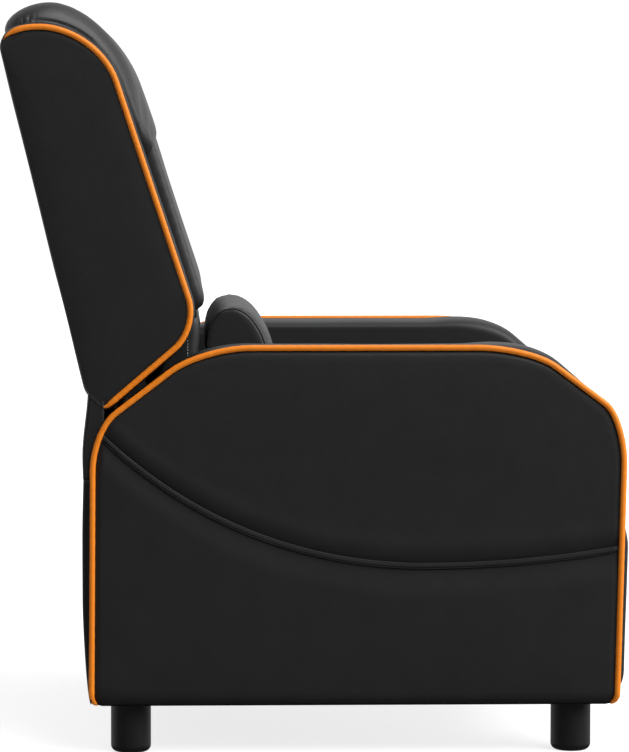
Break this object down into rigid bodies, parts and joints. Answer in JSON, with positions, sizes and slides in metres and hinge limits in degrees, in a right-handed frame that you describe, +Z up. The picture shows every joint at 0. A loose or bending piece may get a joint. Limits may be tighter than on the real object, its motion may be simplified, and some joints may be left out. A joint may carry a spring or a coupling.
{
  "type": "recliner chair",
  "caption": "Push-back lounge recliner in black leather with orange piping, a pop-out footrest on a steel linkage, a head pad and a loose lumbar pillow.",
  "frame": {"origin": "on the floor under the middle of the chair's bounding box", "axes": "+Z up, -Y to the front of the chair, +X to the sitter's left"},
  "size_m": [0.74, 0.8327, 1.009],
  "materials": {
    "black_leather": "black artificial leather with a fine grain and a soft sheen",
    "orange_piping": "orange artificial leather piping",
    "plywood": "raw birch plywood",
    "leg_plastic": "glossy black moulded plastic",
    "mechanism_steel": "black painted steel strip",
    "zinc_steel": "zinc plated steel",
    "spring_wire": "oiled spring wire",
    "webbing": "woven elastic webbing"
  },
  "bodies": {
    "base": {"right_arm_cover": "black_leather", "left_arm_cover": "black_leather", "right_arm_frame": "plywood", "left_arm_frame": "plywood", "right_arm_piping": "orange_piping", "left_arm_piping": "orange_piping", "middle_rail": "plywood", "rear_rail": "plywood", "rear_cover": "black_leather", "front_right_leg": "leg_plastic", "front_left_leg": "leg_plastic", "rear_right_leg": "leg_plastic", "rear_left_leg": "leg_plastic", "leg_bolts": "zinc_steel", "right_mount_plate": "mechanism_steel", "left_mount_plate": "mechanism_steel", "mount_screws": "zinc_steel", "base_studs": "zinc_steel"},
    "front_swing": {"front_swing_links": "mechanism_steel"},
    "rear_swing": {"rear_swing_links": "mechanism_steel"},
    "seat": {"right_seat_plate": "mechanism_steel", "left_seat_plate": "mechanism_steel", "seat_front_rail": "plywood", "seat_rear_rail": "plywood", "seat_springs": "spring_wire", "spring_clips": "zinc_steel", "seat_rivets": "zinc_steel", "seat_cushion": "black_leather", "lumbar_pillow": "black_leather"},
    "back": {"back_cover": "black_leather", "right_back_post": "plywood", "left_back_post": "plywood", "back_top_rail": "plywood", "back_mid_rail": "plywood", "back_webbing": "webbing", "headrest_pad": "black_leather", "back_pad": "black_leather", "lower_back_pad": "black_leather", "right_back_piping": "orange_piping", "left_back_piping": "orange_piping", "right_back_bracket": "mechanism_steel", "left_back_bracket": "mechanism_steel", "back_bolts": "zinc_steel", "rear_flap": "black_leather"},
    "drive_rod": {"drive_rods": "mechanism_steel", "rod_rivets": "zinc_steel"},
    "front_foot": {"right_front_foot_link": "mechanism_steel", "left_front_foot_link": "mechanism_steel"},
    "rear_foot": {"right_rear_foot_link": "mechanism_steel", "left_rear_foot_link": "mechanism_steel"},
    "carrier": {"right_carrier": "mechanism_steel", "left_carrier": "mechanism_steel", "carrier_rivets": "zinc_steel"},
    "control": {"control_links": "mechanism_steel", "control_rivets": "zinc_steel"},
    "footrest": {"footrest_brackets": "mechanism_steel", "footrest_board": "plywood", "footrest_pad": "black_leather"}
  },
  "joints": [
    {"name": "recline", "type": "hinge", "parent": "seat", "child": "back", "pos_m": [0, 0.2, 0.279], "axis": [-1, 0, 0], "range_deg": [0, 45], "deforming": ["rear_flap"]},
    {"name": "rear_swing_turn", "type": "hinge", "parent": "base", "child": "rear_swing", "pos_m": [0, 0.089, 0.33269], "axis": [-1, 0, 0], "range_deg": [0, 90]},
    {"name": "seat_turn", "type": "hinge", "parent": "rear_swing", "child": "seat", "pos_m": [0, 0.12, 0.279], "axis": [1, 0, 0], "range_deg": [0, 90]},
    {"name": "front_swing_turn", "type": "hinge", "parent": "base", "child": "front_swing", "pos_m": [0, -0.031, 0.33269], "axis": [-1, 0, 0], "range_deg": [0, 90]},
    {"name": "drive_rod_turn", "type": "hinge", "parent": "front_swing", "child": "drive_rod", "pos_m": [0, -0.02546, 0.30446], "axis": [1, 0, 0], "range_deg": [0, 90]},
    {"name": "front_foot_turn", "type": "hinge", "parent": "seat", "child": "front_foot", "pos_m": [0, -0.23, 0.279], "axis": [-1, 0, 0], "range_deg": [0, 90]},
    {"name": "rear_foot_turn", "type": "hinge", "parent": "seat", "child": "rear_foot", "pos_m": [0, -0.13, 0.279], "axis": [-1, 0, 0], "range_deg": [0, 90]},
    {"name": "carrier_turn", "type": "hinge", "parent": "front_foot", "child": "carrier", "pos_m": [0, -0.12393, 0.17293], "axis": [1, 0, 0], "range_deg": [0, 90]},
    {"name": "control_turn", "type": "hinge", "parent": "front_foot", "child": "control", "pos_m": [0, -0.11652, 0.1418], "axis": [1, 0, 0], "range_deg": [0, 90]},
    {"name": "footrest_turn", "type": "hinge", "parent": "carrier", "child": "footrest", "pos_m": [0, -0.345, 0.309], "axis": [-1, 0, 0], "range_deg": [0, 90]}
  ],
  "couplings": [
    {"joint": "rear_swing_turn", "follows": "recline", "ratio": 2},
    {"joint": "seat_turn", "follows": "recline", "ratio": 2},
    {"joint": "front_swing_turn", "follows": "recline", "ratio": 2},
    {"joint": "drive_rod_turn", "follows": "recline", "ratio": 2},
    {"joint": "front_foot_turn", "follows": "recline", "ratio": 2},
    {"joint": "rear_foot_turn", "follows": "recline", "ratio": 2},
    {"joint": "carrier_turn", "follows": "recline", "ratio": 2},
    {"joint": "control_turn", "follows": "recline", "ratio": 2},
    {"joint": "footrest_turn", "follows": "recline", "ratio": 2}
  ]
}
